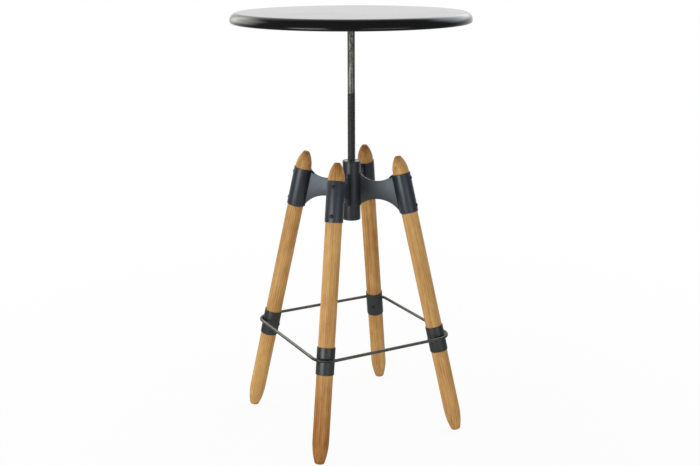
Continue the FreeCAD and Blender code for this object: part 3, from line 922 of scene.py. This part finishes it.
def enamel():
    """Deep gloss stove enamel with faint wipe marks and a little dust."""
    material, place = new_material("black enamel")
    wipe = place.noise(scale=7.0, detail=3.0, roughness=0.6)
    dust = place.noise(scale=900.0, detail=1.0)
    peel = place.noise(scale=160.0)
    tone = wipe * WIPE_TONE + dust.step(*DUST_TONE_SPAN) * DUST_TONE
    gloss = (ENAMEL_ROUGHNESS + wipe.step(*WIPE_SPAN) * WIPE_DULLING
             + dust.step(*DUST_DULLING_SPAN) * DUST_DULLING)
    surface(place, {"Base Color": tone.mix(ENAMEL_DEEP, ENAMEL_DUSTY), "Roughness": gloss,
                    "Normal": peel.bump(strength=0.03, distance=0.0002)})
    return material


SHANK_DULL = (0.165, 0.172, 0.156)
SHANK_BRIGHT = (0.390, 0.396, 0.364)
SHANK_STAIN_AND_SHADE = (0.034, 0.040, 0.038)
SHANK_ROUGHNESS = 0.32
DRAWN_CELLS = (1500, 40)
DRAWN_DULLING = 0.16
FILM_CELLS = (260, 34)
FILM_SHIFT = (3, 1, 2)
FILM_SPAN = (0.38, 0.66)
FILM_DULLING = 0.10
STAIN_CELLS = (230, 120)
STAIN_AND_SHADE_SPAN = (0.53, 0.66)
TOP_SHADE_FROM = 0.06
TOP_SHADE_GAIN = 0.07
STAIN_AND_SHADE_COVER = 0.85
STAIN_AND_SHADE_METAL_LOSS = 0.6
STAIN_AND_SHADE_DULLING = 0.10
STAIN_AND_SHADE_RELIEF = 0.5


def bare_steel():
    """Worn shank with drawing marks, thin grease and dark stains, and painted shade under the table top
    that spreads the stains towards the top.
    """
    material, place = new_material("bare shank steel")
    drawn = place.scaled(DRAWN_CELLS).noise()
    stain = place.scaled(STAIN_CELLS).noise(detail=4.0, roughness=0.65)
    film = place.scaled(FILM_CELLS, FILM_SHIFT).noise(detail=3.0)
    # Painted shade: the stains spread and darken towards the top, where the table top shades the shank.
    upper = place.part(2).step(THREAD_TOP + TOP_SHADE_FROM, THREAD_TOP + SHANK_SHOWN)
    stain_and_shade = (stain + upper * TOP_SHADE_GAIN).step(*STAIN_AND_SHADE_SPAN)
    colour = film.step(*FILM_SPAN).mix(SHANK_DULL, SHANK_BRIGHT)
    colour = (stain_and_shade * STAIN_AND_SHADE_COVER).mix(colour, SHANK_STAIN_AND_SHADE)
    gloss = SHANK_ROUGHNESS + drawn * DRAWN_DULLING + film * FILM_DULLING + stain_and_shade * STAIN_AND_SHADE_DULLING
    surface(place, {"Base Color": colour, "Metallic": 1 - stain_and_shade * STAIN_AND_SHADE_METAL_LOSS, "Roughness": gloss,
                    "Normal": (drawn - stain_and_shade * STAIN_AND_SHADE_RELIEF).bump(strength=0.12, distance=0.0002)})
    return material


THREAD_BLACK = (0.023, 0.023, 0.022)
THREAD_RUBBED = (0.098, 0.097, 0.091)
THREAD_ROUGHNESS = 0.30
RUB_CELLS = (300, 90)
RUB_DEPTH = 0.0005
RUB_SHARE = 0.8
OIL_CELLS = (90, 30)
OIL_DULLING = 0.22


def black_thread():
    """Oil-blackened thread, rubbed brighter on its crests."""
    material, place = new_material("blackened thread")
    crest = reach_of(place.part(0), place.part(1)).step(THREAD_RADIUS - RUB_DEPTH, THREAD_RADIUS)
    rub = crest * place.scaled(RUB_CELLS).noise(detail=3.0) * RUB_SHARE
    oil = place.scaled(OIL_CELLS).noise(detail=3.0)
    surface(place, {"Base Color": rub.mix(THREAD_BLACK, THREAD_RUBBED), "Metallic": rub,
                    "Roughness": THREAD_ROUGHNESS + oil * OIL_DULLING})
    return material


STEEL_CLOUD_SPAN = (0.30, 0.70)
STEEL_CLOUD_DULLING = 0.20
STEEL_FINE_DULLING = 0.06
CORNER_DARK_CORE = 0.016
CORNER_DARK_REACH = 0.050
CORNER_DARK_STEEL = (0.122, 0.120, 0.112)


def plain_steel(name, dark, light, roughness, weld_corner=None):
    """Unpainted steel, cloudy and slightly grainy, and darker round its welded corners."""
    material, place = new_material(name)
    cloud = place.noise(scale=140.0, detail=4.0, roughness=0.6)
    fine = place.noise(scale=1800.0)
    colour = cloud.step(*STEEL_CLOUD_SPAN).mix(dark, light)
    if weld_corner:
        # Darker within a few centimetres of the four corners where the bar meets the ferrules.
        across, aside = (place.part(axis).math("ABSOLUTE") - weld_corner for axis in (0, 1))
        clear_of_corner = reach_of(across, aside).step(CORNER_DARK_CORE, CORNER_DARK_REACH)
        colour = clear_of_corner.mix(CORNER_DARK_STEEL, colour)
    gloss = roughness + cloud * STEEL_CLOUD_DULLING + fine * STEEL_FINE_DULLING
    surface(place, {"Base Color": colour, "Metallic": 1.0, "Roughness": gloss,
                    "Normal": fine.bump(strength=0.08, distance=0.0002)})
    return material


# Camera, floor and light

CAMERA_TURN = math.radians(-28.364)
CAMERA_DISTANCE = 2.6136
CAMERA_SIDE = -0.004467
CAMERA_HEIGHT = 1.2433
CAMERA_PITCH = math.radians(15.473)
CAMERA_ROLL = math.radians(-0.199)
CAMERA_LENS = 53.315
CAMERA_SENSOR = 36
WHITE = (1, 1, 1, 1)
LAMP_MIDDLE = 0.5
LAMP_FADE = (0.15, 0.5)
ROOM_DIM = 0.12
ROOM_SPAN = (0.2, 1.0)
PLAIN_LIGHT = 0.62
PLAIN_SLANT = 0.22
FLOOR_RADIUS = 9.0
FLOOR_SIDES = 96
FLOOR_COLOUR = (0.85, 0.85, 0.85, 1)
FLOOR_SPAN = (0.4, 2.2)
FLOOR_NEAR_WHITE = 0.92
FLOOR_NEAR_MIRRORED = 0.30


def camera():
    """The camera, at the photograph's viewing angle."""
    data = bpy.data.cameras.new("camera")
    data.sensor_width = CAMERA_SENSOR
    data.lens = CAMERA_LENS
    eye = bpy.data.objects.new("camera", data)
    bpy.context.scene.collection.objects.link(eye)
    eye.matrix_world = (Matrix.Rotation(CAMERA_TURN, 4, "Z")
                        @ Matrix.Translation((CAMERA_SIDE, -CAMERA_DISTANCE, CAMERA_HEIGHT))
                        @ Matrix.Rotation(QUARTER_TURN - CAMERA_PITCH, 4, "X")
                        @ Matrix.Rotation(CAMERA_ROLL, 4, "Z"))
    bpy.context.scene.camera = eye


def softbox(name, turn, distance, height, aim, size, glow, colour):
    """A soft-edged lamp, placed by its turn from the camera's direction and aimed at the axis."""
    lamp = bpy.data.lights.new(name, "AREA")
    lamp.shape = "RECTANGLE"
    lamp.size, lamp.size_y = size
    lamp.energy = glow * math.pi * size[0] * size[1]
    lamp.color = colour
    lamp.use_nodes = True
    lamp.node_tree.nodes.clear()
    across = Wire(lamp.node_tree).node("ShaderNodeNewGeometry", out="Parametric")
    fade = 1.0
    for axis in (0, 1):
        off_middle = (across.part(axis) - LAMP_MIDDLE).math("ABSOLUTE")
        fade = (1 - off_middle.step(*LAMP_FADE)) * fade
    light = across.node("ShaderNodeEmission", None, {"Color": WHITE, "Strength": fade})
    across.node("ShaderNodeOutputLight", None, {"Surface": light})
    holder = bpy.data.objects.new(name, lamp)
    holder.visible_camera = False
    bpy.context.scene.collection.objects.link(holder)
    spot = Matrix.Rotation(CAMERA_TURN + turn, 3, "Z") @ Vector((0, -distance, height))
    holder.location = spot
    holder.rotation_euler = (Vector((0, 0, aim)) - spot).to_track_quat("-Z", "Y").to_euler()


def share_along(way, direction):
    """How far a direction points along one of the camera's axes."""
    axis = Matrix.Rotation(CAMERA_TURN, 3, "Z") @ Vector(direction)
    return way.node("ShaderNodeVectorMath", {"operation": "DOT_PRODUCT"}, {0: way, 1: axis}, "Value")


def room(way):
    """The studio as shiny surfaces see it: white behind the object and dim in front of it."""
    return ROOM_DIM + share_along(way, (0, 1, 0)).step(*ROOM_SPAN) * (1 - ROOM_DIM)


def rays(wire):
    """Rays that look at the backdrop, straight or through glass, and rays that mirror it."""
    ray = wire.node("ShaderNodeLightPath", out="Is Camera Ray")
    return ray.math("MAXIMUM", ray.other("Is Transmission Ray")), ray.other("Is Glossy Ray")


def studio():
    """White backdrop, the room in reflections, and plain light on everything matt."""
    world = bpy.data.worlds.new("studio")
    bpy.context.scene.world = world
    world.use_nodes = True
    world.cycles.sampling_method = "NONE"
    world.node_tree.nodes.clear()
    way = Wire(world.node_tree).node("ShaderNodeTexCoord", out="Generated")
    seen, glossy = rays(way)
    plain = PLAIN_LIGHT + share_along(way, (-1, 0, 0)) * PLAIN_SLANT
    strength = seen + glossy * room(way) + (1 - seen - glossy) * plain
    light = way.node("ShaderNodeBackground", None, {"Color": WHITE, "Strength": strength})
    way.node("ShaderNodeOutputWorld", None, {"Surface": light})


def floor():
    """Pale floor that looks white, keeps the object's shadow and is dim in reflections nearby."""
    bpy.ops.object.select_all(action="DESELECT")
    bpy.ops.mesh.primitive_circle_add(vertices=FLOOR_SIDES, radius=FLOOR_RADIUS, fill_type="NGON")
    ground = bpy.context.active_object
    ground.name = "floor"
    material, place = new_material("white floor")
    material.cycles.emission_sampling = "NONE"
    distance = place.node("ShaderNodeVectorMath", {"operation": "LENGTH"}, {0: place}, "Value")
    far = distance.step(*FLOOR_SPAN)
    way = place.node("ShaderNodeVectorMath", {"operation": "NORMALIZE"}, {0: place})
    seen, glossy = rays(place)
    mirrored = (1 - far) * FLOOR_NEAR_MIRRORED + far * room(way)
    white = seen * (FLOOR_NEAR_WHITE + far * (1 - FLOOR_NEAR_WHITE)) + glossy
    matt = place.node("ShaderNodeBsdfDiffuse", None, {"Color": FLOOR_COLOUR})
    glow = place.node("ShaderNodeEmission", None,
                      {"Color": WHITE, "Strength": seen + glossy * mirrored})
    mixed = place.node("ShaderNodeMixShader", None, {0: white, 1: matt, 2: glow})
    place.node("ShaderNodeOutputMaterial", None, {"Surface": mixed})
    ground.data.materials.append(material)


bpy.context.scene.view_settings.view_transform = "Standard"
camera()
studio()
floor()
softbox("key", turn=math.radians(-38), distance=2.3, height=0.48, aim=0.50,
        size=(1.9, 1.4), glow=4.3, colour=(1.0, 0.99, 0.97))
softbox("left", turn=math.radians(-120), distance=2.0, height=1.68, aim=1.0,
        size=(2.8, 2.0), glow=2.15, colour=(0.985, 1.0, 0.90))
softbox("back", turn=math.radians(135), distance=2.0, height=2.15, aim=1.0,
        size=(3.9, 2.2), glow=1.85, colour=(0.88, 0.925, 1.0))
softbox("fill", turn=math.radians(31), distance=2.4, height=0.48, aim=0.50,
        size=(2.6, 1.4), glow=1.15, colour=(0.97, 0.985, 1.0))

gunmetal = paint("gunmetal paint", dark=(0.080, 0.092, 0.107), light=(0.117, 0.133, 0.155))
# Web paint is the gunmetal made lighter and bluer: painted reflection of the key light and the room on
# the flat plates.
web_painted_reflection = paint("web paint", dark=(0.090, 0.104, 0.121), light=(0.132, 0.151, 0.176))
# Hub paint is the gunmetal made darker: painted shade from the webs and sleeves around the hub.
hub_painted_shade = paint("hub paint", dark=(0.063, 0.070, 0.078), light=(0.092, 0.101, 0.113))
ferrule_paint = paint("ferrule paint", dark=(0.080, 0.086, 0.087), light=(0.117, 0.125, 0.126))
weld_paint = paint("weld paint", dark=(0.034, 0.037, 0.042), light=(0.058, 0.063, 0.071),
                   roughness=0.50)
screw_black = paint("screw black", dark=(0.046, 0.048, 0.050), light=(0.080, 0.084, 0.088),
                    roughness=0.36, specks=1400.0)
black_enamel = enamel()
bare_shank = bare_steel()
blackened_thread = black_thread()
ring_steel = plain_steel("ring steel", dark=(0.196, 0.190, 0.180), light=(0.302, 0.292, 0.276),
                         roughness=0.36, weld_corner=RING_BEND_AT + RING_BEND_RADIUS / math.sqrt(2))
fixing_steel = plain_steel("fixing steel", dark=(0.300, 0.300, 0.290), light=(0.460, 0.460, 0.440),
                           roughness=0.30)

leg_poles()
leg_bands()
screws()
web_plates()
web_welds()
foot_ring()
ring_welds()
hub()
spindle()
table_top()
collar()
spider()
studs()
for node in ("stop_washer", "stop_screw"):
    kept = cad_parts[node]
    kept.data.materials.clear()
    kept.data.materials.append(fixing_steel)
